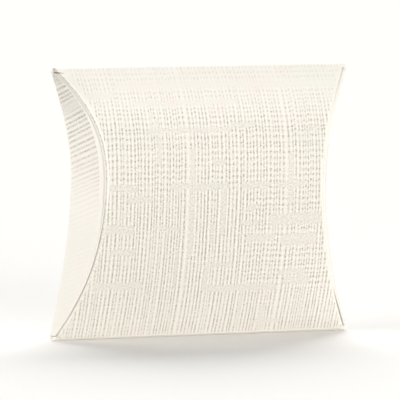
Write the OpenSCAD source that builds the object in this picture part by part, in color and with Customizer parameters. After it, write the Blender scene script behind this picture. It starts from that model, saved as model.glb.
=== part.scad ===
// Favor box of the pillow kind, standing on its lower side fold.
// One die-cut sheet of embossed card makes it: two bowed panels, two side folds, a glued seam
// along the bottom, and two flaps that close each end as a hollow lens.
// X runs along the box, the front panel faces -Y, and Z is up from the flat of the bottom fold.

/* [Box] */
// Height from the bottom side fold to the top side fold
box_h = 70; // [50:1:110]
// Length between the points where the end creases would meet if the tips weren't blunt
box_l = 84; // [64:1:140]

/* [Card] */
// Thickness of the card
card_t = 0.45; // [0.3:0.05:0.6]

/* [Front panel] */
// How far the front panel bows out from the plane of the side folds
front_bulge = 10.8; // [8:0.1:16]
// How far above the middle the front panel bows most
front_crest_rise = 10; // [0:0.5:12]
// Fullness of the front bow, 2 for a parabola and more for a flatter middle
front_fullness = 2.4; // [2:0.1:4]

/* [Back panel] */
// How far the back panel bows out from the plane of the side folds
back_bulge = 12.4; // [8:0.1:16]
// How far above the middle the back panel bows most
back_crest_rise = 8; // [0:0.5:12]
// Fullness of the back bow
back_fullness = 3; // [2:0.1:4]

/* [End flaps] */
// Depth of the hollow end behind its two tips
end_depth = 10.8; // [7:0.1:15]
// How far above the middle the ends are deepest
end_crest_rise = 6; // [0:0.5:12]
// Fullness of the curved end creases
end_fullness = 2.2; // [2:0.1:4]
// Space between an outer flap and the inner flap that it covers
lap_gap = 0.2; // [0.15:0.05:0.4]
// How far the cut edge of an outer flap lies behind the face of the front panel
edge_recess = 0.3; // [0.1:0.05:1]
// Distance of an inner flap's straight cut edge from the plane of the side folds
inner_edge_back = 0.5; // [0.3:0.1:4]
// Height of the blunt flap tips above the bottom of the box, and below its top
tip_lift = 1.3; // [0.8:0.1:2]
// Space between a flap and the panel that it turns on
turn_gap = 0.2; // [0.15:0.05:0.4]

/* [Side folds] */
// Inside radius of a side fold
fold_inner_r = 0.4; // [0.3:0.05:0.8]
// Height of the strip of card that makes a side fold
fold_zone = 2.2; // [2.1:0.1:4]
// Depth to which the underside of the bottom fold is pressed flat
press_depth = 0.12; // [0.05:0.01:0.15]

/* [Glued seam] */
// Height of the glue tab above the flat of the bottom fold
tab_h = 13; // [9:0.5:20]
// Distance between the foot of the glue tab's slanted ends and the tips of the box
tab_end_inset = 5; // [4:0.5:12]
// Angle of the glue tab's ends away from upright
tab_end_slant = 35; // [30:1:50]
// Radius of the glue tab's upper corners
tab_corner_r = 2; // [1:0.25:3]
// Thickness of the dried glue
glue_t = 0.1; // [0.05:0.05:0.2]
// Height of the glue stripe
glue_band = 6; // [3:0.5:7]
// Distance between the ends of the glue stripe and the ends of the tab
glue_end_inset = 3; // [1:0.5:6]
// Height of the front panel's lower cut edge above the flat of the bottom fold
seam_reveal = 0.55; // [0.4:0.05:1]

/* [Scored creases] */
// Width of the bead that scoring raises inside each curved crease
bead_w = 0.8; // [0.5:0.1:1.5]
// Height of that bead
bead_h = 0.15; // [0.1:0.05:0.3]
// Distance between the ends of the bead and the side folds
bead_stop = 5; // [4:0.5:10]

/* [Hidden] */

card_color = "ivory";
glue_color = "lightyellow";

// How far a cutting shape runs past what it cuts
overrun = 0.1;
// Strips that follow a bowed panel from fold to fold
strips = 40;
// Straight pieces of one fold's rounding
fold_pieces = 10;

// Levels along Z
fold_top = box_h - fold_zone;
front_crest = box_h / 2 + front_crest_rise;
back_crest = box_h / 2 + back_crest_rise;
end_crest = box_h / 2 + end_crest_rise;

// The folds' rounding, with the angle at which each panel leaves it
fold_r = fold_inner_r + card_t;
low_center = fold_r - press_depth;
high_center = box_h - fold_r;
function lean(depth, span, fullness) = atan(fullness * depth / span);
front_low_lean = lean(front_bulge, front_crest, front_fullness);
front_high_lean = lean(front_bulge, box_h - front_crest, front_fullness);
back_low_lean = lean(back_bulge, back_crest, back_fullness);
back_high_lean = lean(back_bulge, box_h - back_crest, back_fullness);

// Thickness of the layers, square to the card, that lie outside each piece
seam_lift = card_t + glue_t;
back_end = card_t + turn_gap;
inner_face = card_t + lap_gap;
front_end = inner_face + card_t + turn_gap;

// A bow is a power curve: depth at its crest, and the base offset where it meets a fold.
// The ends, the base offset and the span may differ below and above the crest.
function share(z, crest, low, high) = abs(z - crest) / (z < crest ? crest - low : high - crest);
function bow(z, crest, low, high, depth, base_low, base_high, fullness) =
    let (base = z < crest ? base_low : base_high)
    base + (depth - base) * (1 - pow(share(z, crest, low, high), fullness));
function bow_slope(z, crest, low, high, depth, base_low, base_high, fullness) =
    let (base = z < crest ? base_low : base_high, span = z < crest ? crest - low : high - crest)
    (depth - base) * fullness * pow(share(z, crest, low, high), fullness - 1) / span;
// A layer measured square to the card is longer across the box where the card slopes
function stretch(slope) = sqrt(1 + slope * slope);

// Front panel, outer face at d = 0 and deeper layers at larger d
front_low = low_center - fold_r * sin(front_low_lean);
front_high = high_center + fold_r * sin(front_high_lean);
front_base_low = fold_r * cos(front_low_lean) + seam_lift * stretch(tan(front_low_lean));
front_base_high = fold_r * cos(front_high_lean);
function front_y(z, d) =
    bow(z, front_crest, front_low, front_high, front_bulge, front_base_low, front_base_high,
        front_fullness)
    - d * stretch(bow_slope(z, front_crest, front_low, front_high, front_bulge, front_base_low,
        front_base_high, front_fullness));

// Back panel
back_low = low_center - fold_r * sin(back_low_lean);
back_high = high_center + fold_r * sin(back_high_lean);
back_base_low = fold_r * cos(back_low_lean);
back_base_high = fold_r * cos(back_high_lean);
function back_y(z, d) =
    bow(z, back_crest, back_low, back_high, back_bulge, back_base_low, back_base_high,
        back_fullness)
    - d * stretch(bow_slope(z, back_crest, back_low, back_high, back_bulge, back_base_low,
        back_base_high, back_fullness));

// Hollow end: distance from the middle of the box to a layer d inside the outer flap's face
function end_x(z, d) =
    box_l / 2 - bow(z, end_crest, 0, box_h, end_depth, 0, 0, end_fullness)
    - d * stretch(bow_slope(z, end_crest, 0, box_h, end_depth, 0, 0, end_fullness));

// Rows of points up the box, shared by every section and outline so that their edges meet
rows = [for (i = [0 : strips]) fold_zone + (fold_top - fold_zone) * i / strips];
all_rows = concat([-overrun, 0], rows, [box_h, box_h + overrun]);
flap_rows = concat([tip_lift], rows, [box_h - tip_lift]);
flap_cut_rows = concat([tip_lift - overrun], rows, [box_h - tip_lift + overrun]);
function rows_within(low, high) =
    concat([low], [for (z = rows) if (z > low && z < high) z], [high]);
function back_to_front(list) = [for (i = [len(list) - 1 : -1 : 0]) list[i]];

// Sections are drawn in Y and Z
function front_section(levels, d0, d1) = concat(
    [for (z = levels) [-front_y(z, d0), z]],
    [for (z = back_to_front(levels)) [-front_y(z, d1), z]]);
function back_section(levels, d0, d1) = concat(
    [for (z = levels) [back_y(z, d0), z]],
    [for (z = back_to_front(levels)) [back_y(z, d1), z]]);
function arc(center, radius, from, to) =
    [for (i = [0 : fold_pieces])
        let (a = from + (to - from) * i / fold_pieces)
        [radius * cos(a), center + radius * sin(a)]];

// Outlines are drawn in X and Z
function sleeve_outline(levels, d) = concat(
    [for (z = levels) [-end_x(z, d), z]],
    [for (z = back_to_front(levels)) [end_x(z, d), z]]);
function left_band(levels, d0, d1) = concat(
    [for (z = levels) [-end_x(z, d0), z]],
    [for (z = back_to_front(levels)) [-end_x(z, d1), z]]);

// A fold runs on past the panels, under or over the blunt tips of the flaps
tip_step = tip_lift - turn_gap;
function fold_side(edge, way, side) =
    let (tip = edge + way * tip_lift, step = edge + way * tip_step, last = edge + way * fold_zone)
    [[side * end_x(tip, 0), edge], [side * end_x(tip, 0), step],
        [side * end_x(step, front_end), step], [side * end_x(last, front_end), last],
        [side * end_x(last, front_end), last + way * overrun]];
function fold_outline(edge, way) =
    concat(fold_side(edge, way, -1), back_to_front(fold_side(edge, way, 1)));

module along_x(points) rotate([90, 0, 90])
    linear_extrude(box_l + 2 * overrun, center = true) polygon(points);
module along_y(points) rotate([90, 0, 0])
    linear_extrude(2 * (front_bulge + back_bulge), center = true) polygon(points);

// A piece of card: its section carried along the box, cut to its outline as seen from the front
module card_piece(section, outline) intersection() {
    along_x(section);
    along_y(outline);
}

module front_panel() color(card_color)
    card_piece(front_section(concat([seam_reveal], rows), 0, card_t),
        sleeve_outline(all_rows, front_end));

module back_panel() color(card_color)
    card_piece(back_section(rows, 0, card_t), sleeve_outline(all_rows, back_end));

// The fold's section wraps from panel to panel, tangent to both, as wide as the card is thick
module top_fold() color(card_color) card_piece(concat(
        [[back_y(fold_top, 0), fold_top]],
        arc(high_center, fold_r, back_high_lean, 180 - front_high_lean),
        [[-front_y(fold_top, 0), fold_top], [-front_y(fold_top, card_t), fold_top]],
        arc(high_center, fold_inner_r, 180 - front_high_lean, back_high_lean),
        [[back_y(fold_top, card_t), fold_top]]),
    fold_outline(box_h, -1));

// The bottom fold joins the back panel to the glue tab, so its front limb lies one layer in
module bottom_fold() color(card_color) card_piece(concat(
        [[-front_y(fold_zone, seam_lift), fold_zone]],
        arc(low_center, fold_r, 180 + front_low_lean, 360 - back_low_lean),
        [[back_y(fold_zone, 0), fold_zone], [back_y(fold_zone, card_t), fold_zone]],
        arc(low_center, fold_inner_r, 360 - back_low_lean, 180 + front_low_lean),
        [[-front_y(fold_zone, seam_lift + card_t), fold_zone]]),
    fold_outline(0, 1));

// Half length of the glue tab at a height, and its outline with rounded upper corners
function tab_half(z) = box_l / 2 - tab_end_inset - (z - fold_zone) * tan(tab_end_slant);
tab_turn = 90 - tab_end_slant;
tab_corner_x = tab_half(tab_h) - tab_corner_r * tan(tab_turn / 2);
function tab_corner(side) =
    [for (i = [0 : fold_pieces])
        let (a = tab_turn * i / fold_pieces)
        [side * (tab_corner_x + tab_corner_r * sin(a)), tab_h - tab_corner_r * (1 - cos(a))]];
tab_outline = concat(
    [[-tab_half(fold_zone - overrun), fold_zone - overrun],
        [tab_half(fold_zone - overrun), fold_zone - overrun]],
    back_to_front(tab_corner(1)),
    tab_corner(-1));

module glue_tab() color(card_color)
    card_piece(front_section(rows, seam_lift, seam_lift + card_t), tab_outline);

glue_low = (fold_zone + tab_h - glue_band) / 2;
glue_high = glue_low + glue_band;
glue_half = tab_half(glue_high) - glue_end_inset;

module glue_line() color(glue_color)
    card_piece(front_section(rows, card_t, seam_lift), [
        [-glue_half, glue_low], [glue_half, glue_low],
        [glue_half, glue_high], [-glue_half, glue_high]]);

// Flaps are hollow along Z: their band follows the end crease, cut to the lens of the section
module left_flap(section, d) intersection() {
    along_x(section);
    along_y(left_band(flap_rows, d, d + card_t));
}

module left_outer_flap() color(card_color) left_flap(concat(
        [for (z = flap_cut_rows) [back_y(z, 0), z]],
        [for (z = back_to_front(flap_cut_rows)) [edge_recess - front_y(z, 0), z]]), 0);

module left_inner_flap() color(card_color) left_flap(concat(
        [for (z = flap_cut_rows) [-inner_edge_back, z]],
        [for (z = back_to_front(flap_cut_rows)) [-front_y(z, 0), z]]), inner_face);

// Scoring leaves a low bead inside the corner, on the panel's side of the crease
bead_rows = rows_within(bead_stop, box_h - bead_stop);

module left_back_crease() color(card_color)
    card_piece(back_section(rows, card_t, card_t + bead_h),
        left_band(bead_rows, back_end, back_end + bead_w));

module left_front_crease() color(card_color)
    card_piece(front_section(rows, card_t, card_t + bead_h),
        left_band(bead_rows, front_end, front_end + bead_w));

// The right end mirrors the left one
module right_outer_flap() mirror([1, 0, 0]) left_outer_flap();
module right_inner_flap() mirror([1, 0, 0]) left_inner_flap();
module right_back_crease() mirror([1, 0, 0]) left_back_crease();
module right_front_crease() mirror([1, 0, 0]) left_front_crease();

front_panel();
back_panel();
top_fold();
bottom_fold();
glue_tab();
glue_line();
left_outer_flap();
left_inner_flap();
right_outer_flap();
right_inner_flap();
left_back_crease();
left_front_crease();
right_back_crease();
right_front_crease();
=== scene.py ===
"""Pillow box of embossed card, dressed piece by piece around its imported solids.

Lengths are in metres. X runs along the box, the front panel faces -Y, and Z is up from the flat of
the bottom fold. Every region of the folded sheet is its own piece, and each keeps its node's place.
"""

import math
from functools import partial

import bpy
import numpy as np
from bpy.props import FloatProperty, FloatVectorProperty, IntProperty, PointerProperty
from bpy.types import Operator, Panel, PropertyGroup
from mathutils import Matrix, Vector


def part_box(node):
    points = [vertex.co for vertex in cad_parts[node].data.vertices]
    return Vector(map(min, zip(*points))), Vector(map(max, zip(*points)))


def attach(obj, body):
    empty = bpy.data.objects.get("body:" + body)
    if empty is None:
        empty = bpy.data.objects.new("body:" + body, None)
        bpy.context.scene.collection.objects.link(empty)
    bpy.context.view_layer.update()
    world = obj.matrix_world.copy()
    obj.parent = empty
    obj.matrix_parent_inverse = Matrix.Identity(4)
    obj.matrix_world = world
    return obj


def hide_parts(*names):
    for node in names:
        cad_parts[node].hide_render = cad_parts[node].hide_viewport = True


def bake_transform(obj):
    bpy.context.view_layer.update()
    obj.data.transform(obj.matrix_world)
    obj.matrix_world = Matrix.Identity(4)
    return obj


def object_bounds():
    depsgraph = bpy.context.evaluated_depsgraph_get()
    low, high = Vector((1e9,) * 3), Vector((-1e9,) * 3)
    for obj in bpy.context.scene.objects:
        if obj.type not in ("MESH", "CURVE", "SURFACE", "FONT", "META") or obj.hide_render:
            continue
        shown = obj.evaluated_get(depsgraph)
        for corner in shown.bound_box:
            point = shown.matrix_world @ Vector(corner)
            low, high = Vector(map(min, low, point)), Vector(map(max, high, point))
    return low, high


bl_info = {
    "name": "Pillow Favor Box",
    "version": (1, 0, 0),
    "blender": (4, 5, 0),
    "location": "View3D > Sidebar > Favor Box",
    "description": "Builds a pillow box of embossed card, piece by piece",
    "category": "Add Mesh",
}

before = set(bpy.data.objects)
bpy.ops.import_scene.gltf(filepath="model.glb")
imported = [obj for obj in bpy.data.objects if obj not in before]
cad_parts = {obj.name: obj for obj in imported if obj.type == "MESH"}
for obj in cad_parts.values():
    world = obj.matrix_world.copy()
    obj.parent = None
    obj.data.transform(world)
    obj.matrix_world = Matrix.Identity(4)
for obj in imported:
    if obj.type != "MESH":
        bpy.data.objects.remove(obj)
CAD_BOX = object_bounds()
MM = 0.001

LOW, HIGH = CAD_BOX
PANEL_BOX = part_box("front_panel")
FOLD_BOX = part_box("top_fold")
TAB_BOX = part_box("glue_tab")
LEFT_FLAP_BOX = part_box("left_outer_flap")

PATTERN_UV = "Sheet"
# Darkness at each vertex: the pattern's depth with painted light and shade laid on it, which the
# materials mix towards the painted pit shade.
RELIEF_AND_PAINTED_SHADE = "relief"
SLUB = "slub"
# What the pattern covers: along the box and up a panel, and up and across a flap.
PANEL_SPAN = (90 * MM, 80 * MM)
FLAP_SPAN = (90 * MM, 40 * MM)
# Quads of each kind of face: in the same order, along and up the tab, and round and along a bead.
FRONT_GRID = (340, 265)
BACK_GRID = (300, 240)
OUTER_GRID = (300, 90)
INNER_GRID = (300, 40)
TAB_GRID = (60, 40)
BEAD_GRID = (8, 120)
BEAD_TAPER = 2 * MM  # length over which a bead rises at each end
COARSE = 5  # quads of a pressed face, each way, for each quad of its back
TURN_STEPS = 5  # quads round a curved crease
FOLD_STEPS = 14  # quads round a side fold, with LIMB_STEPS on each limb and FOLD_SPAN along the box
LIMB_STEPS = 6
FOLD_SPAN = 340
BORDER = 0.3  # mm over which the relief fades beside a side fold
CREASE_BORDER = (0.2, 0.8)  # mm from a curved crease between which the back's relief fades
CROWN = (-0.6, 0.3)  # mm across the top fold between which the front's painted light ends and the painted shade behind the crown begins
PINCH = 1.2  # mm over which a fold closes at its tips
SLUB_TONE = 0.08  # added to the darkness of flat slubs
EDGE = 0.01 * MM  # points that lie closer to a cut edge are on it
FLOOR_REACH = 5.0  # half the width of the floor, in metres
FLOOR_LINES = 9
WARM = (1.0, 0.985, 0.96)
WHITE = (1.0, 1.0, 1.0)


def length(name, description, default):
    """A property for a length in metres."""
    return FloatProperty(
        name=name, description=description, default=default, min=0.0, unit="LENGTH", precision=5
    )


def number(name, description, default, high=1000.0):
    """A property for a plain number from 0 up."""
    return FloatProperty(name=name, description=description, default=default, min=0.0, max=high)


def colour(name, description, default):
    """A property for a colour."""
    return FloatVectorProperty(
        name=name, description=description, default=default, size=3, min=0.0, max=1.0, subtype="COLOR"
    )


def turn(name, description, degrees):
    """A property for an angle, given in degrees and kept in radians."""
    default = math.radians(degrees)
    return FloatProperty(name=name, description=description, default=default, subtype="ANGLE")


class BoxShape(PropertyGroup):
    """Sizes of the folded box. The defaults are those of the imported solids."""

    height: length("Height", "From the bottom side fold to the top one", HIGH.z - LOW.z)
    length: length("Length", "Between the points where the end creases would meet", 84 * MM)
    front_bulge: length("Front bulge", "How far the front panel bows out", -PANEL_BOX[0].y)
    front_rise: length("Front crest rise", "Height of the front crest above the middle", 10 * MM)
    front_fullness: number("Front fullness", "2 for a parabola, more for a flatter middle", 2.4)
    back_bulge: length("Back bulge", "How far the back panel bows out", HIGH.y)
    back_rise: length("Back crest rise", "Height of the back crest above the middle", 8 * MM)
    back_fullness: number("Back fullness", "Fullness of the back bow", 3.0)
    end_depth: length("End depth", "Depth of the hollow ends behind their tips", 10.8 * MM)
    end_rise: length("End crest rise", "Height at which the ends are deepest, above the middle", 6 * MM)
    end_fullness: number("End fullness", "Fullness of the curved end creases", 2.2)
    tip_lift: length("Tip lift", "Distance of the blunt flap tips from the folds", LEFT_FLAP_BOX[0].z)
    fold_zone: length("Fold zone", "Height of the strip that makes a side fold", HIGH.z - FOLD_BOX[0].z)


class CardSheet(PropertyGroup):
    """Thickness of the card, its gaps and the radii at which it folds."""

    thickness: length("Thickness", "Thickness of the card", 0.45 * MM)
    turn_gap: length("Turn gap", "Inside radius of the curved creases", 0.2 * MM)
    lap_gap: length("Lap gap", "Space between an outer flap and the inner one", 0.2 * MM)
    edge_recess: length("Edge recess", "How far an outer flap's cut edge lies behind the front", 0.3 * MM)
    inner_edge: length("Inner edge", "From an inner flap's cut edge to the folds' plane", 0.5 * MM)
    fold_radius: length("Fold radius", "Inside radius of the side folds", 0.4 * MM)
    press_depth: length("Press depth", "How far the bottom fold is pressed flat", 0.12 * MM)
    glue: length("Glue", "Thickness of the dried glue", 0.1 * MM)
    seam_reveal: length("Seam reveal", "Height of the front panel's lower cut edge", PANEL_BOX[0].z)
    tab_height: length("Tab height", "Height of the glue tab", TAB_BOX[1].z)
    tab_inset: length("Tab inset", "From the tips to the foot of the tab's slanted ends", 5 * MM)
    tab_slant: turn("Tab slant", "Angle of the tab's ends away from upright", 35)
    tab_corner: length("Tab corner", "Radius of the tab's upper corners", 2 * MM)
    bead_width: length("Bead width", "Width of the bead inside a curved crease", 0.8 * MM)
    bead_height: length("Bead height", "Height of that bead", 0.15 * MM)
    bead_stop: length("Bead stop", "Distance of the bead's ends from the folds", 5 * MM)


class WeavePattern(PropertyGroup):
    """The cloth pattern that is pressed into the card."""

    seed: IntProperty(name="Seed", description="Choice of the pattern's random numbers", default=11)
    depth: length("Depth", "Depth of the deepest pits", 0.17 * MM)
    level: number("Level", "Depth of the flat slubs as a share of the pits'", 0.27, high=1.0)
    column_pitch: length("Column pitch", "Mean distance between upright grooves", 0.91 * MM)
    row_pitch: length("Row pitch", "Mean distance between level grooves", 1.28 * MM)
    unevenness: number("Unevenness", "Share by which the pitches vary", 0.34, high=0.6)
    groove: length("Groove", "Half width of a groove", 0.19 * MM)
    sway: length("Sway", "How far the grooves wander from a straight line", 0.16 * MM)
    flap_tilt: turn("Flap tilt", "Rise of the rows towards the front on the end flaps", 13)


class CardColours(PropertyGroup):
    """Colours of the card and the glue."""

    ivory: colour("Ivory", "Face of the card", (0.935, 0.903, 0.84))
    rosy: colour("Rosy", "Warmer patches of the face", (0.94, 0.882, 0.835))
    greenish: colour("Greenish", "Cooler patches of the face", (0.915, 0.902, 0.83))
    # The pit colour is painted shade in the pits and grooves.
    pit: colour("Pit", "Bottom of the pits and grooves", (0.42, 0.39, 0.345))
    core: colour("Core", "Cut edges", (0.84, 0.815, 0.76))
    inside: colour("Inside", "Unpressed back of the card", (0.93, 0.9, 0.85))
    glue: colour("Glue", "Dried glue", (0.86, 0.8, 0.62))


class StudioStage(PropertyGroup):
    """Camera, floor and lights."""

    azimuth: turn("Azimuth", "How far the camera stands to the left of the front", 23.34)
    elevation: turn("Elevation", "How far the camera looks down", 4.41)
    roll: turn("Roll", "Turn of the picture", 0.31)
    distance: length("Distance", "From the camera to the middle of the box", 1521.7 * MM)
    lens: number("Lens", "Focal length in millimetres", 528.8)
    aside: length("Aside", "How far the camera is moved to its right", 0.08 * MM)
    lift: length("Lift", "How far the camera is moved up", 0.15 * MM)
    floor: colour("Floor", "Colour of the floor", (0.94, 0.93, 0.912))
    world: number("World", "Strength of the light from all round", 0.1)


class Pillow:
    """The folded box as power curves.

    A bow stands base + (depth - base) * (1 - share ** fullness) off its plane, where share is the
    distance from the crest over the span on that side. A layer at depth d below a face is measured
    square to the card, so across the box it is d * sqrt(1 + slope ** 2)."""

    def __init__(self, scene):
        shape, card = scene.favor_box_shape, scene.favor_box_card
        self.shape, self.card, self.pattern = shape, card, scene.favor_box_weave
        self.t = card.thickness
        self.fold_r = card.fold_radius + self.t
        self.low_centre = self.fold_r - card.press_depth
        self.high_centre = shape.height - self.fold_r
        self.back_end = self.t + card.turn_gap
        self.inner_face = self.t + card.lap_gap
        self.front_end = self.inner_face + self.t + card.turn_gap
        self.seam_lift = self.t + card.glue
        self.turn_r = self.t + card.turn_gap
        middle = shape.height / 2
        self.fold_top = shape.height - shape.fold_zone
        self.end_crest = middle + shape.end_rise
        front = (middle + shape.front_rise, shape.front_bulge, shape.front_fullness)
        back = (middle + shape.back_rise, shape.back_bulge, shape.back_fullness)
        self.front_side = self.side(*front, self.seam_lift)
        self.back_side = self.side(*back, 0.0)
        self.front_wall = (self.front, -1, self.front_end)
        self.back_wall = (self.back, 1, self.back_end)

    def side(self, crest, depth, fullness, lift):
        """A panel's crest, ends, depth, base offsets and fullness, with its leans at the folds.
        lift is the thickness that lies under its lower edge."""
        low_lean = math.atan(fullness * depth / crest)
        high_lean = math.atan(fullness * depth / (self.shape.height - crest))
        low = self.low_centre - self.fold_r * math.sin(low_lean)
        high = self.high_centre + self.fold_r * math.sin(high_lean)
        base_low = self.fold_r * math.cos(low_lean) + lift / math.cos(low_lean)
        base_high = self.fold_r * math.cos(high_lean)
        bow = (crest, low, high, depth, base_low, base_high, fullness)
        return {"bow": bow, "low_lean": low_lean, "high_lean": high_lean}

    @staticmethod
    def layer(z, d, bow):
        """Distance from the folds' plane to the layer d below the face, at the heights z."""
        crest, low, high, depth, base_low, base_high, fullness = bow
        below = z < crest
        base = np.where(below, base_low, base_high)
        span = np.where(below, crest - low, high - crest)
        share = np.abs(z - crest) / span
        slope = (depth - base) * fullness * share ** (fullness - 1) / span
        return base + (depth - base) * (1 - share**fullness) - d * np.sqrt(1 + slope**2)

    def front(self, z, d=0.0):
        """Distance of the front panel's layer d from the folds' plane."""
        return self.layer(z, d, self.front_side["bow"])

    def back(self, z, d=0.0):
        """Distance of the back panel's layer d from the folds' plane."""
        return self.layer(z, d, self.back_side["bow"])

    def end(self, z, d=0.0):
        """Distance of the hollow end's layer d from the middle of the box."""
        shape = self.shape
        bow = (self.end_crest, 0.0, shape.height, shape.end_depth, 0.0, 0.0, shape.end_fullness)
        return shape.length / 2 - self.layer(z, -d, bow)

    def check(self):
        """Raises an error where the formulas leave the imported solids."""
        crest = self.front_side["bow"][0]
        gaps = {
            "front panel": -PANEL_BOX[0].y - float(self.front(crest)),
            "flap tips": -LEFT_FLAP_BOX[0].x - float(self.end(self.shape.tip_lift)),
        }
        for name, gap in gaps.items():
            if abs(gap) > self.t:
                raise ValueError(f"the {name} lies {gap / MM:.2f} mm from its solid")


def even_levels(curve, low, high, count):
    """Heights from low to high that lie evenly along a panel, and their distance along it."""
    fine = np.linspace(low, high, 40 * count)
    away = curve(fine)
    along = np.concatenate([[0.0], np.cumsum(np.hypot(np.diff(fine), np.diff(away)))])
    even = np.linspace(0.0, along[-1], count + 1)
    return np.interp(even, along, fine), even


def rising(value, low, high):
    """0 below low and 1 above high, with a smooth step 3 t**2 - 2 t**3 between them."""
    t = np.clip((value - low) / (high - low), 0.0, 1.0)
    return t * t * (3 - 2 * t)


def ramp(value, low, high):
    """rising, between two lengths in millimetres."""
    return rising(value, low * MM, high * MM)


def bell(distance, width):
    """exp(-(distance / width) ** 2)."""
    return np.exp(-((distance / width) ** 2))


def sample(table, a, b):
    """A table read between its cells: the mean of the four nearest, weighed by nearness. Places beyond
    its last cells are read just before them."""
    a, b = (np.clip(v, 0, n - 1.001) for v, n in zip((a, b), table.shape))
    i, j = a.astype(int), b.astype(int)
    p, q = a - i, b - j
    near = table[i, j] * (1 - q) + table[i, j + 1] * q
    far = table[i + 1, j] * (1 - q) + table[i + 1, j + 1] * q
    return near * (1 - p) + far * p


class Weave:
    """Uneven cloth pattern as a depth from 0 at the crests to 1 in the pits.

    Grooves lie on lines whose distances vary about the pitch, and wander by a smooth noise. Across a
    thread the height is a bell curve at its middle less one at its groove, and where two grooves cross
    there is a pit. Tables with one number for each crossing vary the strengths. Cells set to 0 are
    flat slubs, which lie at the level of an unpressed sheet."""

    SPARE = 14  # lines beyond the span
    THICK_SHARE, THICK, THIN = 0.03, 1.4, 0.985  # share of thick threads, and widths over the pitch
    BENDS, DRIFTS = 40, 14  # values each way in the tables of the fine and the coarse noise
    LONG = 6  # columns of the pattern for two cells of the fine noise, or half a cell of the coarse

    def __init__(self, pattern, span, seed, loose=1.0):
        self.pattern = pattern
        self.loose = loose * pattern.unevenness
        self.rng = np.random.default_rng(pattern.seed + seed)
        self.low = (-span[0] / 2 - 4 * pattern.column_pitch, -4 * pattern.row_pitch)
        self.columns = self.lines(pattern.column_pitch, self.low[0], span[0] / 2)
        self.rows = self.lines(pattern.row_pitch, self.low[1], span[1])
        shape = (len(self.columns), len(self.rows))
        self.rib = self.rng.uniform(0.35, 1.0, shape) * self.rng.uniform(0.55, 1.0, (shape[0], 1))
        self.weft = self.rng.uniform(0.2, 1.0, shape) * self.rng.uniform(0.4, 1.0, (1, shape[1]))
        self.pit = self.rng.uniform(0.2, 1.0, shape)
        self.cells = np.ones(shape)
        self.shift = self.rng.uniform(-0.18, 0.18, shape[0]) * pattern.row_pitch
        self.bends = self.rng.uniform(-1.0, 1.0, (2, self.BENDS, self.BENDS))
        self.drifts = self.rng.uniform(-1.0, 1.0, (2, self.DRIFTS, self.DRIFTS))

    def lines(self, pitch, low, high):
        """Places of the grooves: a running sum of uneven pitches, with a thicker thread now and then."""
        count = int((high - low) / pitch) + self.SPARE
        steps = self.rng.uniform(1 - self.loose, 1 + self.loose, count)
        steps *= np.where(self.rng.uniform(size=count) < self.THICK_SHARE, self.THICK, self.THIN)
        return low + np.cumsum(steps) * pitch

    def slubs(self, count, long, wide, upright):
        """Clears blocks of cells at random: long cells one way and wide cells the other."""
        for _ in range(count):
            i = self.rng.integers(0, self.cells.shape[0])
            j = self.rng.integers(0, self.cells.shape[1])
            a = self.rng.integers(*long)
            b = self.rng.integers(*wide)
            across, up = (b, a) if upright else (a, b)
            self.cells[i : i + across, j : j + up] = self.rng.uniform(0.0, 0.25)

    def bar(self, x, v, half, rise):
        """Clears the cells within half of x, and rise of v."""
        i = (self.columns > x - half) & (self.columns < x + half)
        j = (self.rows > v - rise) & (self.rows < v + rise)
        self.cells[np.ix_(i, j)] = 0.0

    @staticmethod
    def nearest(lines, at):
        """Number of the nearest line, the distances to it and to the thread's middle, and the place in
        lines as a share."""
        right = np.clip(np.searchsorted(lines, at), 1, len(lines) - 1)
        left = right - 1
        share = (at - lines[left]) / (lines[right] - lines[left])
        near = np.where(share < 0.5, left, right)
        return near, np.abs(at - lines[near]), np.abs(at - (lines[left] + lines[right]) / 2), left + share

    def wander(self, u, v, layer):
        """Smooth noise from -1 to 1: a coarse and a fine table, read between their cells."""
        long = self.LONG * self.pattern.column_pitch
        a, b = u - self.low[0], v - self.low[1]
        drift = sample(self.drifts[layer], a / (2 * long), b / (2 * long))
        bend = sample(self.bends[layer], a / long * 2, b / long * 2)
        return 0.75 * drift + 0.25 * bend

    def relief(self, u, v, dots):
        """Depth at the places u, v, and how flat they are. dots is 1 for pits and 0 for ribs."""
        pattern = self.pattern
        su = u + pattern.sway * self.wander(u, v, 0)
        sv = v + pattern.sway * self.wander(u, v, 1)
        column, du, mu, pu = self.nearest(self.columns, su)
        row, dv, mv, pv = self.nearest(self.rows, sv + self.shift[column])
        along, across = bell(du, pattern.groove), bell(dv, pattern.groove * 1.2)
        rib = (bell(mu, pattern.groove * 1.1) - along) * sample(self.rib, column.astype(float), pv)
        weft = (bell(mv, pattern.groove * 1.6) - across) * sample(self.weft, pu, row.astype(float))
        pit = along * across * self.pit[column, row]
        height = (1.25 - 0.4 * dots) * rib + (0.1 + 0.25 * dots) * weft - (0.2 + 0.9 * dots) * pit
        flat = rising(1 - sample(self.cells, pu - 0.5, pv - 0.5), 0.25, 0.55)
        height = height * (1 - flat)
        depth = pattern.level - np.where(height > 0, pattern.level, 1 - pattern.level) * height
        return np.clip(depth, 0.0, 1.0), flat


def quads(grid):
    """The four-sided faces of a grid of vertex numbers."""
    return np.stack([grid[:-1, :-1], grid[:-1, 1:], grid[1:, 1:], grid[1:, :-1]], -1).reshape(-1, 4)


def border(grid):
    """The four sides of a grid, each in the order in which its faces pass it."""
    return grid[0], grid[:, -1], grid[-1, ::-1], grid[::-1, 0]


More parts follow.
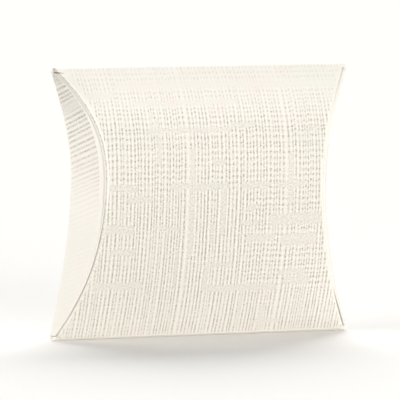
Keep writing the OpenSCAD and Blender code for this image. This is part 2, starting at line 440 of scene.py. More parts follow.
def closed_sheet(name, outer, inner, step, finishes, uv, relief=0.0, slub=0.0, behind=0.0):
    """A closed shell of card made from two grids of points.

    inner has one point behind every step-th point of outer. Quads cover both, and each face of the rim
    takes step + 1 points of outer's border and the two behind its ends. The finishes are those of the
    outer face, the inner face and the rim. relief and slub belong to outer, and behind is inner's
    relief."""
    fine = np.arange(outer[..., 0].size).reshape(outer.shape[:2])
    coarse = fine.size + np.arange(inner[..., 0].size).reshape(inner.shape[:2])
    rims = []
    for near, far in zip(border(fine), border(coarse)):
        starts = np.arange(0, len(near) - 1, step)
        chain = near[starts[:, None] + np.arange(step, -1, -1)]
        rims.append(np.column_stack([chain, far[:-1], far[1:]]))
    groups = [quads(fine), quads(coarse)[:, ::-1], np.concatenate(rims)]
    i, j = outer.shape[0] // 2, outer.shape[1] // 2
    normal = np.cross(outer[i, j + 1] - outer[i, j], outer[i + 1, j] - outer[i, j])
    if normal @ (outer[i, j] - inner[i // step, j // step]) < 0:
        groups = [g[:, ::-1] for g in groups]

    mesh = bpy.data.meshes.new(name)
    spots = np.concatenate([outer.reshape(-1, 3), inner.reshape(-1, 3)])
    corners = np.concatenate([g.ravel() for g in groups])
    counts = [len(g) for g in groups]
    sides = np.repeat([4, 4, step + 3], counts)
    kinds = np.repeat([0, 1, 2], counts)
    mesh.vertices.add(len(spots))
    mesh.vertices.foreach_set("co", spots.astype(np.float32).ravel())
    mesh.loops.add(len(corners))
    mesh.loops.foreach_set("vertex_index", corners.astype(np.int32))
    mesh.polygons.add(len(sides))
    mesh.polygons.foreach_set("loop_start", (np.cumsum(sides) - sides).astype(np.int32))
    mesh.polygons.foreach_set("material_index", kinds.astype(np.int32))
    mesh.polygons.foreach_set("use_smooth", kinds < 2)
    for finish in finishes:
        mesh.materials.append(material(finish))

    places = np.concatenate([uv.reshape(-1, 2), uv[::step, ::step].reshape(-1, 2)])
    mesh.uv_layers.new(name=PATTERN_UV).data.foreach_set("uv", places[corners].astype(np.float32).ravel())
    # The relief values are darkness: the pattern's depth with the painted light and shade laid on it.
    for label, face, back in ((RELIEF_AND_PAINTED_SHADE, relief, behind), (SLUB, slub, 0.0)):
        both = [np.broadcast_to(v, grid.shape).ravel() for v, grid in ((face, fine), (back, coarse))]
        values = np.concatenate(both).astype(np.float32)
        mesh.attributes.new(label, "FLOAT", "POINT").data.foreach_set("value", values)
    mesh.update(calc_edges=True)
    sharpen_rim(mesh, np.concatenate(border(fine)), np.concatenate(border(coarse)))
    if mesh.validate():
        raise ValueError(f"the mesh of {name} has bad faces")
    return new_object(name, mesh)


def sharpen_rim(mesh, *borders):
    """Marks the edges along the borders sharp, so that the faces beside them keep their own shading."""
    ends = np.empty(2 * len(mesh.edges), np.int32)
    mesh.edges.foreach_get("vertices", ends)
    side = np.zeros(len(mesh.vertices), np.int8)
    for mark, ring in enumerate(borders, 1):
        side[ring] = mark
    first, second = side[ends.reshape(-1, 2)].T
    sharp = mesh.attributes.new("sharp_edge", "BOOLEAN", "EDGE")
    sharp.data.foreach_set("value", (first > 0) & (first == second))


def new_object(name, data):
    """An object with that data, linked to the scene, in place of an older one of that name."""
    old = bpy.data.objects.get(name)
    if old is not None:
        bpy.data.objects.remove(old)
    made = bpy.data.objects.new(name, data)
    bpy.context.scene.collection.objects.link(made)
    return made


def points(*axes):
    """A grid of points in two or three dimensions, from arrays that are spread to one shape."""
    return np.stack(np.broadcast_arrays(*axes), -1)


class Value:
    """A number in a material. Sums written with it add Math nodes."""

    def __init__(self, finish, socket):
        self.finish, self.socket = finish, socket

    def math(self, operation, first, second):
        return self.finish.node("ShaderNodeMath", {0: first, 1: second}, operation=operation)

    def __add__(self, other):
        return self.math("ADD", self, other)

    __radd__ = __add__

    def __mul__(self, other):
        return self.math("MULTIPLY", self, other)

    __rmul__ = __mul__

    def __sub__(self, other):
        return self.math("SUBTRACT", self, other)

    def __rsub__(self, other):
        return self.math("SUBTRACT", other, self)

    def __pow__(self, other):
        return self.math("POWER", self, other)


class Finish:
    """A material that is written as expressions."""

    def __init__(self, name):
        self.material = bpy.data.materials.new(name)
        self.material.use_nodes = True
        self.tree = self.material.node_tree
        self.tree.nodes.clear()

    def node(self, kind, sockets, out=0, **settings):
        """Adds a node with its settings, then fills its sockets with values or links, and returns an
        output where it has one."""
        made = self.tree.nodes.new(kind)
        for key, value in settings.items():
            setattr(made, key, value)
        for key, value in sockets.items():
            if isinstance(value, Value):
                self.tree.links.new(value.socket, made.inputs[key])
            else:
                made.inputs[key].default_value = value
        return Value(self, made.outputs[out]) if made.outputs else None

    def pattern(self, u=1.0, v=1.0):
        """The sheet's own coordinates in metres, times u and v."""
        uv = self.node("ShaderNodeUVMap", {}, uv_map=PATTERN_UV)
        return self.node("ShaderNodeVectorMath", {0: uv, 1: (u, v, 1.0)}, operation="MULTIPLY")

    def attribute(self, name):
        """A number that the mesh holds at each vertex."""
        return self.node("ShaderNodeAttribute", {}, out="Fac", attribute_name=name)

    def noise(self, vector, scale, detail=2.0, roughness=0.5):
        """Soft noise from 0 to 1."""
        sockets = {"Vector": vector, "Scale": scale, "Detail": detail, "Roughness": roughness}
        return self.node("ShaderNodeTexNoise", sockets)

    def mix(self, factor, first, second):
        """The colour first where factor is 0, and second where it is 1."""
        sockets = {0: factor, 6: opaque(first), 7: opaque(second)}
        return self.node("ShaderNodeMix", sockets, out=2, data_type="RGBA")

    def surface(self, base, roughness, height, bump, specular=0.4):
        """Ends the material: a matt surface with a bump, where bump is the depth in metres that height 1
        stands for."""
        normal = self.node("ShaderNodeBump", {"Height": height, "Distance": bump, "Strength": 1.0})
        sockets = {"Base Color": base, "Roughness": roughness, "Normal": normal}
        shader = self.node("ShaderNodeBsdfPrincipled", {**sockets, "Specular IOR Level": specular})
        self.node("ShaderNodeOutputMaterial", {"Surface": shader})
        return self.material


def opaque(value):
    """A colour with an alpha of 1, or a link as it is."""
    return value if isinstance(value, Value) else (*value, 1.0)


def material(name):
    """The material of that name, made once by its function in FINISHES."""
    made = bpy.data.materials.get(name)
    return made or FINISHES[name](Finish(name), bpy.context.scene.favor_box_colours)


def embossed_face(finish, colours):
    """Face of the board: ivory with rosy and greenish patches, painted shade in the pits, smooth on the
    slubs.
    """
    sheet = finish.pattern()
    relief, slub = finish.attribute(RELIEF_AND_PAINTED_SHADE), finish.attribute(SLUB)
    patches = finish.noise(sheet, 130.0, 3.0)
    drift = finish.noise(sheet, 45.0, 1.0)
    base = colours.ivory
    for value, full, tint in ((patches, 0.68, colours.rosy), (drift, 0.7, colours.greenish)):
        share = finish.node("ShaderNodeMapRange", {"Value": value, "From Min": 0.5, "From Max": full})
        base = finish.mix(share, base, tint)
    speckle = finish.noise(sheet, 2300.0, 2.0)
    # Painted shade: the pit colour mixed in by the relief attribute, with fine flecks of colour from the
    # speckle.
    base = finish.mix(relief**1.1 * (speckle * 3.0 - 0.5), base, colours.pit)
    threads = finish.noise(finish.pattern(1.0, 0.3), 6500.0, 3.0)
    wefts = finish.noise(finish.pattern(0.3, 1.0), 6500.0, 3.0)
    height = threads * 0.15 + wefts * 0.1 + speckle * (0.4 + relief * 2.4)
    roughness = 0.62 - slub * 0.12 + (threads - 0.5) * 0.15
    return finish.surface(base, roughness, height, 0.05 * MM)


def plain_face(finish, colours):
    """Unpressed back of the board, with fibres and a faint trace of the pattern."""
    sheet = finish.pattern()
    clouds = finish.noise(sheet, 160.0, 3.0)
    base = finish.mix(clouds, colours.inside, colours.ivory)
    fibres = finish.noise(finish.pattern(1.0, 0.3), 4200.0, 4.0, 0.6)
    trace = finish.noise(sheet, 900.0, 1.0)
    height = fibres * 0.6 + trace * 0.4
    return finish.surface(base, 0.66 + (fibres - 0.5) * 0.12, height, 0.02 * MM)


def cut_edge(finish, colours):
    """Cut edge: the board's pressed layers as fine streaks, with painted shade towards the pit colour
    where the relief attribute says. The right end's lit copy is painted as pale as the face."""
    layers = finish.noise(finish.pattern(0.3, 1.0), 7000.0, 3.0, 0.65)
    # The right end's lit copy takes the face's ivory as its core, a painted light.
    core = colours.ivory if finish.material.name == "right_edge_painted_light_and_shade" else colours.core
    base = finish.mix(layers * 0.4, core, colours.inside)
    # Painted shade on the cut edge, by the relief attribute.
    base = finish.mix(finish.attribute(RELIEF_AND_PAINTED_SHADE), base, colours.pit)
    return finish.surface(base, 0.8 - layers * 0.1, layers, 0.02 * MM, specular=0.2)


def scored_bead(finish, colours):
    """Card raised by scoring: stretched fibres along the bead."""
    fibres = finish.noise(finish.pattern(1.0, 0.2), 5200.0, 3.0)
    base = finish.mix(fibres * 0.6, colours.inside, colours.ivory)
    return finish.surface(base, 0.62 + fibres * 0.08, fibres, 0.015 * MM)


def dried_glue(finish, colours):
    """Dried white glue: pale and a little glossy, with brush streaks and thin spots."""
    own = finish.node("ShaderNodeTexCoord", {}, out="Object")
    streaks = finish.node("ShaderNodeVectorMath", {0: own, 1: (0.15, 1.0, 1.0)}, operation="MULTIPLY")
    brush = finish.noise(streaks, 2600.0, 2.0)
    spots = finish.noise(own, 700.0, 2.0)
    base = finish.mix(spots, colours.glue, colours.inside)
    return finish.surface(base, 0.3 + brush * 0.2, brush, 0.02 * MM, specular=0.5)


FINISHES = {
    "embossed_face": embossed_face,
    "plain_back": plain_face,
    "cut_edge": cut_edge,
    "right_edge_painted_light_and_shade": cut_edge,
    "scored_bead": scored_bead,
    "dried_glue": dried_glue,
}
CARD = ("embossed_face", "plain_back", "cut_edge")


def panel(node, pillow, wall, low, size, weave, dots, fade, painted_light_and_shade):
    """A bowed panel with its pressed face: x = s * end(z) for s from -1 to 1 along the box, and y is
    the bow at the height z less the depth.

    wall is the panel's bow, its side of the box and how far its ends lie inside the hollow ends, and
    low is where it begins. fade gives the strength of its relief, and the last argument the share of the
    unpressed level that is left out of the pattern's colour, which paints light and shade on the panel."""
    curve, sign, near_end = wall
    z, along = even_levels(curve, low, pillow.fold_top, size[1])
    z, along = z[:, None], along[:, None]
    x = np.linspace(-1.0, 1.0, size[0] + 1) * pillow.end(z, near_end)
    depth, flat = weave.relief(x, along, dots(x, z))
    strength = fade(x, z)
    depth = depth * strength
    # Darkness: the pattern's depth, the slubs' tone, and the painted light and shade of the last
    # argument.
    dark = np.clip(depth + SLUB_TONE * flat * strength - pillow.pattern.level * painted_light_and_shade(x, z), 0.0, 1.0)
    outer = points(x, sign * curve(z, depth * pillow.pattern.depth), z)
    inner = points(x, sign * curve(z, pillow.t), z)[::COARSE, ::COARSE]
    made = closed_sheet(f"{node}_card", outer, inner, COARSE, CARD, points(x, along), dark, flat)
    place(made, node)


def place(made, node):
    """Rides a piece of the sleeve on its body, in place of its node."""
    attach(made, "sleeve")
    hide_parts(node)


def crease_gap(pillow, x, z, near_end):
    """Distance along the box from a point to the curved end of its panel."""
    return pillow.end(z, near_end) - np.abs(x)


# Thick threads of the front: middle along the box and up the panel, half width and half height, in mm.
FRONT_BARS = (
    (5, 66.9, 31, 0.5),
    (-31, 64, 3.5, 0.8),
    (-7.5, 61.8, 15, 0.7),
    (-7.5, 54, 12, 0.9),
    (-26.5, 40, 4, 0.9),
    (-5, 40, 8, 0.9),
    (10.5, 40, 4, 0.9),
    (22.5, 30.4, 8, 0.9),
    (9.5, 29.7, 2.5, 0.8),
    (-27, 29.2, 4, 0.8),
    (-13, 29.1, 3, 0.8),
    (12.5, 25.4, 4, 0.8),
    (23.5, 25.1, 5.5, 0.8),
    (23.5, 14.2, 4, 0.7),
    (-26.5, 14.2, 7, 0.8),
    (8.5, 12.4, 9.5, 0.8),
    (1.5, 33, 0.6, 6.5),
    (-16.3, 51.4, 0.6, 6.4),
    (-6.8, 43.4, 0.6, 6.4),
    (20.2, 41.5, 0.6, 6.5),
    (-7, 31, 0.6, 9.5),
)


def front_weave(pattern):
    """The pattern of the front panel, which runs on over the top fold."""
    weave = Weave(pattern, PANEL_SPAN, 1)
    weave.slubs(36, (2, 9), (1, 2), upright=False)
    weave.slubs(14, (3, 9), (1, 2), upright=True)
    for x, v, half, rise in FRONT_BARS:
        weave.bar(x * MM, v * MM, half * MM, rise * MM)
    return weave


def front_dots(x, z):
    """Near 1 where the front shows pits, in the upper half and at the lower right, and low elsewhere."""
    upper = ramp(z, 33, 44)
    right = ramp(x, 6, 14) * ramp(z, 9, 15)
    return 0.15 + 0.85 * np.maximum(upper, right)


def front_fade(pillow, x, z):
    """Strength of the front's relief: none at the borders, and faint towards the top fold."""
    high = np.clip((z - 50 * MM) / (17 * MM), 0.0, 1.0) ** 2.2
    wide = np.where(x < 0, 0.02 + 2.7 * high, 0.1 + 0.6 * high) * MM
    sides = rising(crease_gap(pillow, x, z, pillow.front_end), 0.5 * wide, wide + 0.12 * MM)
    strip = 0.1 * MM * (ramp(x, -32, -24) + ramp(x, -10, 40))
    above = rising(z - pillow.card.seam_reveal, strip, strip + BORDER * MM)
    top = ramp(np.abs(pillow.fold_top - z), 0, BORDER) * (1 - 0.5 * ramp(z, 52, 67))
    return sides * above * top


def front_painted_light_and_shade(pillow, x, z):
    """Painted light and shade on the front, as the share of the unpressed level that doesn't darken it:
    all of it near the top fold, a painted light, some at the bottom, also painted light, and less than
    none, a painted shade, at half height and in the corner at the upper left beside the crease."""
    top, bottom = ramp(z, 51.5, 67), 1 - ramp(z, 1, 16)
    middle, high = bell(z - 34 * MM, 18 * MM), bell(z - 66 * MM, 4 * MM)
    # Painted shade in the upper left corner beside the crease.
    corner = (x < 0) * bell(crease_gap(pillow, x, z, pillow.front_end), 5 * MM) * high
    return (top + 0.4 * bottom - 0.42 * middle) * front_fade(pillow, x, z) - 0.4 * corner


class FrontPanel(Operator):
    """Adds the bowed front panel, with the pattern that the photograph shows"""

    bl_idname = "favor_box.front_panel"
    bl_label = "Front panel"

    def execute(self, context):
        pillow = Pillow(context.scene)
        pillow.check()
        fade, painted_light_and_shade = partial(front_fade, pillow), partial(front_painted_light_and_shade, pillow)
        panel(
            "front_panel", pillow, pillow.front_wall, pillow.card.seam_reveal, FRONT_GRID,
            front_weave(pillow.pattern), front_dots, fade, painted_light_and_shade,
        )
        return {"FINISHED"}


def back_weave(pattern):
    """The pattern of the back panel, which runs on over the bottom fold."""
    weave = Weave(pattern, PANEL_SPAN, 2)
    weave.slubs(60, (3, 14), (1, 2), upright=False)
    weave.slubs(22, (4, 12), (1, 2), upright=True)
    return weave


def back_dots(x, z):
    """1 where the back shows pits, in the upper half, and low where it shows ribs."""
    return 0.3 + 0.7 * ramp(z + 0.3 * x, 25, 45)


def back_fade(pillow, x, z):
    """Strength of the back's relief: none at the borders."""
    ends = ramp(crease_gap(pillow, x, z, pillow.back_end), *CREASE_BORDER)
    return ends * ramp(np.minimum(pillow.fold_top - z, z - pillow.shape.fold_zone), 0, BORDER)


def back_painted_shade(x, z):
    """Painted shade: the upper half of the back is darker than its relief says."""
    return -0.5 * ramp(z, 30, 62)


class BackPanel(Operator):
    """Adds the bowed back panel"""

    bl_idname = "favor_box.back_panel"
    bl_label = "Back panel"

    def execute(self, context):
        pillow = Pillow(context.scene)
        panel(
            "back_panel", pillow, pillow.back_wall, pillow.shape.fold_zone, BACK_GRID,
            back_weave(pillow.pattern), back_dots, partial(back_fade, pillow), back_painted_shade,
        )
        return {"FINISHED"}


def fold_profile(pillow, z, centre, edge, lift, lean):
    """The section of a side fold as outer and inner points in Y and Z: the front limb, an arc round the
    centre, and the back limb.

    Both limbs end at the height z, the front one lift below its panel's face. lean names the angle at
    which they leave the arc."""
    fore, aft = pillow.front_side[lean], pillow.back_side[lean]
    start, stop = (math.pi + fore, 2 * math.pi - aft) if edge < centre else (math.pi - fore, aft)
    angle = np.linspace(start, stop, FOLD_STEPS + 1)
    share = np.linspace(0.0, 1.0, LIMB_STEPS + 1)[:, None]
    rings = []
    for radius, d in ((pillow.fold_r, 0.0), (pillow.card.fold_radius, pillow.t)):
        near = np.array((-float(pillow.front(z, lift + d)), z))
        far = np.array((float(pillow.back(z, d)), z))
        ring = np.stack([radius * np.cos(angle), centre + radius * np.sin(angle)], -1)
        first = near * (1 - share[:-1]) + ring[0] * share[:-1]
        last = ring[-1] + (far - ring[-1]) * share[1:]
        rings.append(np.concatenate([first, ring, last]))
    return rings


def fold_reach(pillow, y, z, edge):
    """Half length of a fold at each point of its section. Beyond the blunt flap tips it runs on over
    them, and elsewhere it ends with the panel of its side."""
    lift = pillow.shape.tip_lift
    tip = edge + (lift if edge < pillow.shape.height / 2 else -lift)
    ends = pillow.end(z, np.where(y < 0, pillow.front_end, pillow.back_end))
    nose = np.abs(z - edge) < lift - pillow.card.turn_gap / 2
    return np.where(nose, pillow.end(tip), ends)


def fold(node, pillow, rings, edge, weave, start, dots, fade):
    """A side fold: its section carried along the box, with its ends cut to the section's own reach.

    The sheet's pattern, which has run for start before the section begins, goes over it with the
    strength fade. At the tips the creases pinch the fold shut. On the upper fold the front of the crown
    carries painted light and the side behind it painted shade, and its left tip carries painted shade."""
    shape, pattern = pillow.shape, pillow.pattern
    (y, z), (inner_y, inner_z) = ((r[:, :1], np.clip(r[:, 1:], 0.0, shape.height)) for r in rings)
    reach = fold_reach(pillow, y, z, edge)
    x = np.linspace(-1.0, 1.0, FOLD_SPAN + 1) * reach
    tip = (np.abs(z - edge) < shape.tip_lift) * rising(np.abs(x), reach - PINCH * MM, reach)
    inner = points(x, inner_y * (1 - 0.97 * tip), inner_z)
    along = start + np.cumsum(np.hypot(*np.diff(rings[0], axis=0, prepend=rings[0][:1]).T))[:, None]
    strength = fade(x, y, z)
    depth = weave.relief(x, along, dots(x, z))[0] * strength
    outer = points(x, y, z)
    sunk = outer + (points(x, inner_y, inner_z) - outer) * depth[..., None] * pattern.depth / pillow.t
    behind, high = ramp(y, *CROWN), z > shape.height / 2
    # Painted light on the front of the crown, and painted shade behind it on the upper fold.
    dark = np.clip(depth - pattern.level * (strength * (1 - behind) - 0.5 * behind * high), 0.0, 1.0)
    # Painted shade at the upper fold's left tip, on both faces.
    tip_painted_shade = 0.8 * tip * (x < 0) * high * (1 - ramp(y, 0.5, 1))
    dark = np.maximum(dark, tip_painted_shade)
    place(closed_sheet(f"{node}_card", sunk, inner, 1, CARD, points(x, along), dark, behind=tip_painted_shade), node)


class SideFolds(Operator):
    """Adds the rounded side folds at the top and the bottom"""

    bl_idname = "favor_box.side_folds"
    bl_label = "Side folds"

    def execute(self, context):
        pillow = Pillow(context.scene)
        top, low, height = pillow.fold_top, pillow.shape.fold_zone, pillow.shape.height

        def high_fade(x, y, z):
            crown = 0.5 + 0.5 * ramp(np.abs(y), 0.2, 1.1)
            return front_fade(pillow, x, z) * crown * (1 + ramp(y, *CROWN))

        rings = fold_profile(pillow, top, pillow.high_centre, height, 0.0, "high_lean")
        along = even_levels(pillow.front, pillow.card.seam_reveal, top, FRONT_GRID[1])[1][-1]
        fold("top_fold", pillow, rings, height, front_weave(pillow.pattern), along, front_dots, high_fade)

        def low_fade(x, y, z):
            ends = ramp(crease_gap(pillow, x, z, pillow.back_end), *CREASE_BORDER)
            return ends * ramp(y, 0.4, 1.1) * ramp(low - z, 0, BORDER)

        rings = fold_profile(pillow, low, pillow.low_centre, 0.0, pillow.seam_lift, "low_lean")
        around = np.hypot(*np.diff(rings[0], axis=0).T).sum()
        fold("bottom_fold", pillow, rings, 0.0, back_weave(pillow.pattern), -around, back_dots, low_fade)
        return {"FINISHED"}


class GlueSeam(Operator):
    """Adds the glue tab behind the front panel's lower edge, and dresses the dried glue"""

    bl_idname = "favor_box.glue_seam"
    bl_label = "Glue seam"

    def execute(self, context):
        pillow = Pillow(context.scene)
        card, low = pillow.card, pillow.shape.fold_zone
        slant = card.tab_slant
        turned = math.pi / 2 - slant
        centre_z = card.tab_height - card.tab_corner
        foot = pillow.shape.length / 2 - card.tab_inset
        # The ends slant in by tan(slant) for each step up. Above turn_z each follows its corner's arc,
        # corner_x + r sqrt(1 - rise ** 2), which leaves the slant and meets the upper edge smoothly.
        shoulder = foot - (card.tab_height - low) * math.tan(slant)
        corner_x = shoulder - card.tab_corner * math.tan(turned / 2)
        z, along = even_levels(pillow.front, low, card.tab_height, TAB_GRID[1])
        z = z[:, None]
        rise = np.clip((z - centre_z) / card.tab_corner, 0.0, 1.0)
        rounded = corner_x + card.tab_corner * np.sqrt(1 - rise**2)
        straight = foot - (z - low) * math.tan(slant)
        turn_z = card.tab_height - card.tab_corner * (1 - math.cos(turned))
        half = np.where(z > turn_z, rounded, straight)
        x = np.linspace(-1.0, 1.0, TAB_GRID[0] + 1) * half
        outer = points(x, -pillow.front(z, pillow.seam_lift), z)
        inner = points(x, -pillow.front(z, pillow.seam_lift + pillow.t), z)
        finishes = ("plain_back", *CARD[1:])
        uv = points(x, along[:, None])
        place(closed_sheet("glue_tab_card", outer, inner, 1, finishes, uv), "glue_tab")
        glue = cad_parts["glue_line"]
        glue.data.materials.clear()
        glue.data.materials.append(material("dried_glue"))
        return {"FINISHED"}


# Smooth patches across the end flaps: middle up the flap and half height, in mm.
FLAP_BARS = ((57.6, 0.8), (67.8, 2.2))
FLAP_STRETCH = 0.75  # the pattern is read at this share of the height, so its rows are further apart
FLAP_DOTS = 0.45  # between pits and ribs


def flap_layer(pillow, wall, face, z, stop, depth, count, turn_steps):
    """Points of a flap's layer at the heights z, from its panel round the crease to its cut edge.

    Round the crease the point at the angle a lies face + turn_r - r sin a inside the end and
    turn_r - r cos a inside the panel, where r is the turn's radius less the depth. Beyond it the layer
    follows the hollow end to y = stop."""
    curve, sign, _ = wall
    depth = depth * np.ones((len(z), turn_steps + count + 1))
    a = np.linspace(0.0, math.pi / 2, turn_steps + 1)[None, :-1]
    r = pillow.turn_r - depth[:, :turn_steps]
    turn_x = pillow.end(z, face + pillow.turn_r - r * np.sin(a))
    turn_y = sign * curve(z, pillow.turn_r - r * np.cos(a))
    begin = sign * curve(z, pillow.turn_r)
    flat_x = pillow.end(z, face + depth[:, turn_steps:])
    flat_y = begin + (stop - begin) * np.linspace(0.0, 1.0, count + 1)
    return points(np.concatenate([turn_x, flat_x], axis=1), np.concatenate([turn_y, flat_y], axis=1), z)


def flap(body, side, pillow, wall, face, stop, weave, size, fade, painted_shade, swell, edge="cut_edge"):
    """An end flap with its rounded crease. side is -1 for the left end, face is how deep the flap lies
    behind the end, and stop gives the place of its cut edge. fade gives the strength of its relief, the
    next argument the painted shade added at its crease and cut edge, and swell how much thicker the die
    left that edge."""
    pattern, tip, height = pillow.pattern, pillow.shape.tip_lift, pillow.shape.height
    z = np.linspace(tip, height - tip, size[0] + 1)[:, None]
    plain = flap_layer(pillow, wall, face, z, stop(z), 0.0, size[1], TURN_STEPS)
    across = np.cumsum(np.abs(np.diff(plain[..., 1], axis=1, prepend=plain[:, :1, 1])), axis=1)
    rows = z + (plain[..., 1] - plain[:, :1, 1]) * math.tan(pattern.flap_tilt)
    dots = np.full_like(across, FLAP_DOTS)
    depth, flat = weave.relief((rows - height / 2) * FLAP_STRETCH, across, dots)
    edge_gap = np.abs(stop(z) - plain[..., 1])
    depth = depth * fade(z, edge_gap) * ramp(across, 0.4, 1.4)
    outer = flap_layer(pillow, wall, face, z, stop(z), depth * pattern.depth, size[1], TURN_STEPS)
    coarse_z = z[::COARSE]
    thick = np.full((len(coarse_z), size[1] // COARSE + 2), pillow.t)
    thick[:, -1] += swell(coarse_z[:, 0]) * ramp(edge_gap[::COARSE, 1], 0.5, 2.5)
    inner = flap_layer(pillow, wall, face, coarse_z, stop(coarse_z), thick, size[1] // COARSE, 1)
    for grid in (outer, inner):
        grid[..., 0] *= side
    # Painted shade at the crease and the cut edge is added to the relief's darkness.
    dark = depth + painted_shade(z, across, edge_gap)
    finishes, uv = (*CARD[:2], edge), points(across, rows)
    made = closed_sheet(f"{body}_flap_card", outer, inner, COARSE, finishes, uv, dark, flat)
    bend(made, body, side, pillow, wall, face, stop)
    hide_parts(f"{body}_flap")


def bend(made, body, side, pillow, wall, face, stop):
    """Bakes a flap's place into its mesh. It works out the middle of the crease, the point at the tip
    below it and the way to the cut edge, but uses none of them."""
    curve, sign, _ = wall
    crest, tip = pillow.end_crest, pillow.shape.tip_lift
    middle, low = (
        Vector((side * float(pillow.end(z, face)), sign * float(curve(z)), crest)) for z in (crest, tip)
    )
    free = Vector((middle.x, float(stop(crest)), crest)) - middle
    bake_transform(made)


class EndFlaps(Operator):
    """Adds the hollow end flaps: an outer one on the back panel and an inner one on the front panel"""

    bl_idname = "favor_box.end_flaps"
    bl_label = "End flaps"

    def execute(self, context):
        pillow = Pillow(context.scene)
        card = pillow.card

        def outer_stop(z):
            return card.edge_recess - pillow.front(z)

        def inner_stop(z):
            return -card.inner_edge

        def outer_fade(z, gap):
            smooth = 1.4 + 1.6 * (1 - ramp(z, 50, 62))
            strong = 0.06 + 0.07 * ramp(z, 10, 28) + 0.87 * ramp(z, 30, 56)
            return strong * ramp(gap, smooth - 0.5, smooth + 0.2)

        def inner_fade(z, gap):
            return ramp(gap, 0.4, 1.0)

        # Painted shade in the left inner flap's rounded crease, beside the outer flap's edge.
        def left_crease_painted_shade(z, across, gap):
            high = ramp(z, 26, 42)
            start = 0.05 * high - 0.04
            crease = ramp(across, start, start + 0.06 + 0.07 * high) * (across < pillow.turn_r + 1 * MM)
            return crease * (0.28 + 0.12 * ramp(z, 5, 12) + 0.1 * ramp(z, 18, 38))

        # Faint painted shade in the right inner flap's rounded crease, fading out above the middle.
        def right_crease_painted_shade(z, across, gap):
            return 0.16 * (1 - ramp(z, 46, 56)) * (across < pillow.turn_r + 1 * MM)

        # Painted shade on the left outer flap: on its cut edge, more in the upper half, and over the
        # whole flap near its top.
        def left_edge_painted_shade(z, across, gap):
            edge = (gap < EDGE) * (0.08 + 0.54 * ramp(z, 20, 36))
            return np.maximum(edge, 0.18 * ramp(z, 55, 60) + 0.22 * ramp(z, 64.5, 67.5))

        # Painted shade on the right outer flap's cut edge, in its lower part.
        def right_edge_painted_light_and_shade(z, across, gap):
            return (gap < EDGE) * 0.3 * (1 - ramp(z, 46, 56))

        def left_swell(z):
            return card.lap_gap * ramp(z, 24, 42)

        def right_swell(z):
            return 1.5 * card.lap_gap * ramp(z, 3, 14)

        # Each end: its name, side, the painted shade on the outer flap's cut edge, the swell of that
        # edge, the painted shade in the inner flap's crease, and the outer flap's edge material, the
        # right one a painted lit copy.
        ends = (
            ("left", -1, left_edge_painted_shade, left_swell, left_crease_painted_shade, "cut_edge"),
            ("right", 1, right_edge_painted_light_and_shade, right_swell, right_crease_painted_shade, "right_edge_painted_light_and_shade"),
        )
        for k, (end, side, edge_painted_shade, swell, turn_painted_shade, edge) in enumerate(ends):
            weave = Weave(pillow.pattern, FLAP_SPAN, 3 + k, loose=0.6)
            weave.slubs(12, (4, 14), (1, 2), upright=True)
            for z, half in FLAP_BARS:
                weave.bar((z * MM - pillow.shape.height / 2) * FLAP_STRETCH, 10 * MM, half * MM, 30 * MM)
            flap(
                f"{end}_outer", side, pillow, pillow.back_wall, 0.0, outer_stop, weave, OUTER_GRID,
                outer_fade, edge_painted_shade, swell, edge,
            )
            flap(
                f"{end}_inner", side, pillow, pillow.front_wall, pillow.inner_face, inner_stop, weave,
                INNER_GRID, inner_fade, turn_painted_shade, np.zeros_like,
            )
        return {"FINISHED"}


class CreaseBeads(Operator):
    """Adds the beads that scoring raises inside the curved creases"""

    bl_idname = "favor_box.crease_beads"
    bl_label = "Crease beads"

    def execute(self, context):
        pillow = Pillow(context.scene)
        card = pillow.card
        # Round a bead at the angle a, across is w (1 - cos a) / 2 and the height h sin a, so its section
        # is half an ellipse. The height falls to nothing at both ends of the bead.
        low, high = card.bead_stop, pillow.shape.height - card.bead_stop
        z = np.linspace(low, high, BEAD_GRID[1] + 1)[:, None]
        a = np.linspace(0.0, math.pi, BEAD_GRID[0] + 1)[None, :]
        taper = np.sqrt(np.clip(np.minimum(z - low, high - z) / BEAD_TAPER, 0.0, 1.0))
        height = card.bead_height * np.sin(a) * taper
        across = card.bead_width * (1 - np.cos(a)) / 2
        for end, side in (("left", -1), ("right", 1)):
            for label, (curve, sign, begin) in (("back", pillow.back_wall), ("front", pillow.front_wall)):
                x = side * pillow.end(z, begin + across)
                outer = points(x, sign * curve(z, pillow.t + height), z)
                inner = points(x, sign * curve(z, pillow.t), z)
                name = f"{end}_{label}_crease"
                finishes = 3 * ("scored_bead",)
                made = closed_sheet(f"{name}_bead", outer, inner, 1, finishes, points(across, z))
                place(made, name)
        return {"FINISHED"}


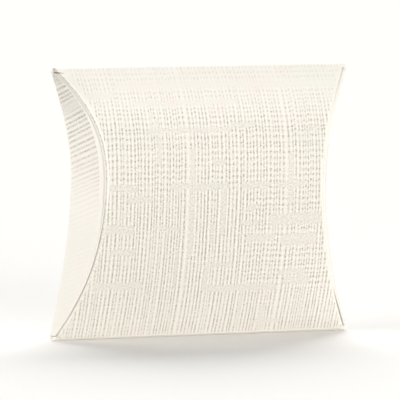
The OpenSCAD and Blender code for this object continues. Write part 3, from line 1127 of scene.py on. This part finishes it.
class Stage(Operator):
    """Sets up the camera, the floor and the soft lights"""

    bl_idname = "favor_box.stage"
    bl_label = "Stage"

    def execute(self, context):
        stage = context.scene.favor_box_stage
        self.camera(context, stage)
        self.floor(stage)
        self.lights(context, stage)
        context.scene.view_settings.view_transform = "Standard"
        return {"FINISHED"}

    def camera(self, context, stage):
        """Aims a long lens at the middle of the box, from the left and a little above."""
        data = bpy.data.cameras.new("camera")
        data.lens = stage.lens
        a, e, roll = stage.azimuth, stage.elevation, stage.roll
        ahead = Vector((math.sin(a) * math.cos(e), math.cos(a) * math.cos(e), -math.sin(e)))
        right = Vector((math.cos(a), -math.sin(a), 0.0))
        up = right.cross(ahead)
        across = right * math.cos(roll) + up * math.sin(roll)
        up = up * math.cos(roll) - right * math.sin(roll)
        middle = Vector((0.0, 0.0, (LOW.z + HIGH.z) / 2))
        eye = middle - ahead * stage.distance + across * stage.aside + up * stage.lift
        camera = new_object("camera", data)
        camera.matrix_world = Matrix.Translation(eye) @ Matrix((across, up, -ahead)).transposed().to_4x4()
        context.scene.camera = camera

    def floor(self, stage):
        """A plain pale floor under the box, as a grid."""
        s = np.linspace(-FLOOR_REACH, FLOOR_REACH, FLOOR_LINES)
        grid = points(s[None, :], s[:, None], 0.0).reshape(-1, 3)
        numbers = np.arange(FLOOR_LINES**2).reshape(FLOOR_LINES, FLOOR_LINES)
        mesh = bpy.data.meshes.new("floor")
        mesh.from_pydata(grid.tolist(), [], quads(numbers).tolist())
        finish = Finish("floor")
        clouds = finish.noise(finish.node("ShaderNodeTexCoord", {}, out="Object"), 3.0)
        base = finish.mix(clouds * 0.1, stage.floor, (0.92, 0.91, 0.892))
        mesh.materials.append(finish.surface(base, 0.9, clouds, 0.0, specular=0.0))
        new_object("floor", mesh)

    def lights(self, context, stage):
        """A faint light from all round, and far soft ones behind, above, in front and at both sides."""
        world = bpy.data.worlds.new("studio")
        world.use_nodes = True
        sockets = world.node_tree.nodes["Background"].inputs
        sockets["Color"].default_value = opaque(WARM)
        sockets["Strength"].default_value = stage.world
        context.scene.world = world
        for name, around, above, wide, strength, tint in LIGHTS:
            around, above = math.radians(around), math.radians(above)
            data = bpy.data.lights.new(name, "SUN")
            data.energy, data.angle, data.color = strength, math.radians(wide), tint
            level = math.cos(above)
            at = Vector((-math.sin(around) * level, -math.cos(around) * level, math.sin(above)))
            aim = at.to_track_quat("Z", "Y").to_matrix().to_4x4()
            new_object(name, data).matrix_world = Matrix.Translation(at) @ aim


# Lights: direction from the front towards the left, elevation and apparent size in degrees, strength
# and colour.
LIGHTS = (
    ("back_light", 203, 38, 42, 2.6, WHITE),
    ("top_light", 203, 62, 50, 0.4, WHITE),
    ("front_light", 0, 6, 40, 2.3, WARM),
    ("right_front_light", 315, 8, 40, 0.6, WARM),
    ("left_light", 85, 40, 60, 0.9, WARM),
    ("low_left_light", 85, 8, 40, 1.04, WARM),
)


class FavorBoxPanel(Panel):
    """Lists the settings and the steps that build the box"""

    bl_idname = "VIEW3D_PT_favor_box"
    bl_label = "Favor Box"
    bl_space_type = "VIEW_3D"
    bl_region_type = "UI"
    bl_category = "Favor Box"

    def draw(self, context):
        for label in SETTINGS:
            box = self.layout.box()
            group = getattr(context.scene, label)
            for key in group.bl_rna.properties.keys():
                if key not in ("rna_type", "name"):
                    box.prop(group, key)
        for step in STEPS:
            self.layout.operator(step.bl_idname)


SETTINGS = {
    "favor_box_shape": BoxShape,
    "favor_box_card": CardSheet,
    "favor_box_weave": WeavePattern,
    "favor_box_colours": CardColours,
    "favor_box_stage": StudioStage,
}
STEPS = (Stage, FrontPanel, BackPanel, SideFolds, GlueSeam, EndFlaps, CreaseBeads)


def register():
    for cls in (*SETTINGS.values(), *STEPS, FavorBoxPanel):
        bpy.utils.register_class(cls)
    for label, group in SETTINGS.items():
        setattr(bpy.types.Scene, label, PointerProperty(type=group))


def unregister():
    for label in SETTINGS:
        delattr(bpy.types.Scene, label)
    for cls in (FavorBoxPanel, *reversed(STEPS), *SETTINGS.values()):
        bpy.utils.unregister_class(cls)


def main():
    register()
    for step in STEPS:
        group, name = step.bl_idname.split(".")
        getattr(getattr(bpy.ops, group), name)()


if __name__ == "__main__":
    main()
